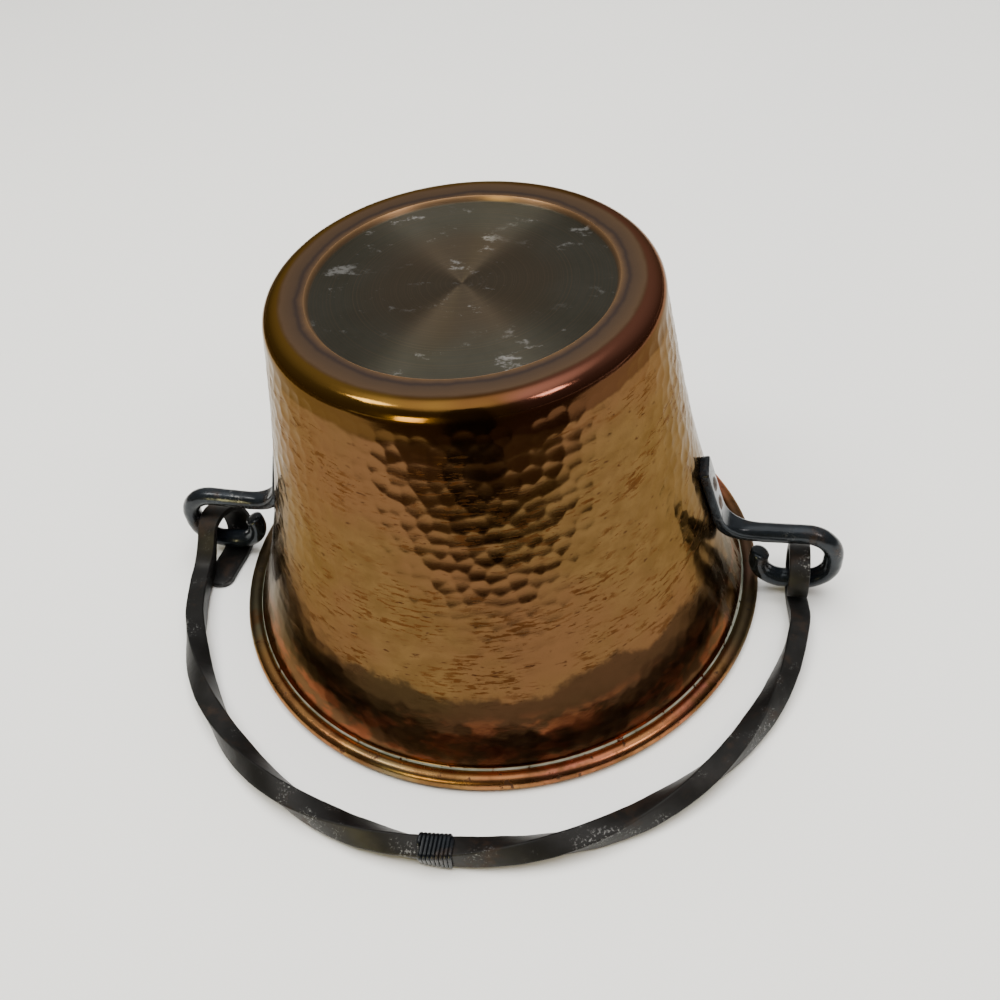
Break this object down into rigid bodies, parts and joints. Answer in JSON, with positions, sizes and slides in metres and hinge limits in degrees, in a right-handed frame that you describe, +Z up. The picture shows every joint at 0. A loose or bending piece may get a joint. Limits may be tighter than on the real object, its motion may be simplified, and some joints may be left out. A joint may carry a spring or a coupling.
{
  "type": "jam pan",
  "caption": "Hammered copper jam pan with a wired rim, riveted iron lugs and a swinging bail of twisted square bar with a wire-wound grip, stored upside down on its rim.",
  "frame": {"origin": "on the pan's axis, in the plane of its rim, which is the floor that the upside-down pan stands on", "axes": "+Z up, out of the pan's base; +X towards the right lug, along the hinge line of the bail; the bail lies towards -Y"},
  "size_m": [0.2898, 0.256, 0.1535],
  "materials": {
    "copper": "hammered copper, brown and golden with age, polished at the base corner and the rim",
    "lug_iron": "smooth forged iron with a glossy black oxide",
    "rivet_iron": "rust-brown iron",
    "bail_iron": "matte dark grey forged iron with a little rust",
    "wrap_wire": "blue-black iron wire",
    "rim_wire": "plain iron wire, hidden in the bead"
  },
  "bodies": {
    "pan": {"pan_body": "copper", "rim_wire": "rim_wire", "lug_left": "lug_iron", "lug_right": "lug_iron", "rivet_left_upper": "rivet_iron", "rivet_left_lower": "rivet_iron", "rivet_right_upper": "rivet_iron", "rivet_right_lower": "rivet_iron"},
    "bail": {"bail": "bail_iron", "bail_wire_wrap": "wrap_wire"}
  },
  "joints": [
    {"name": "bail_swing", "type": "hinge", "parent": "pan", "child": "bail", "pos_m": [0, 0, 0.0078], "axis": [1, 0, 0], "range_deg": [-50, 229]}
  ]
}
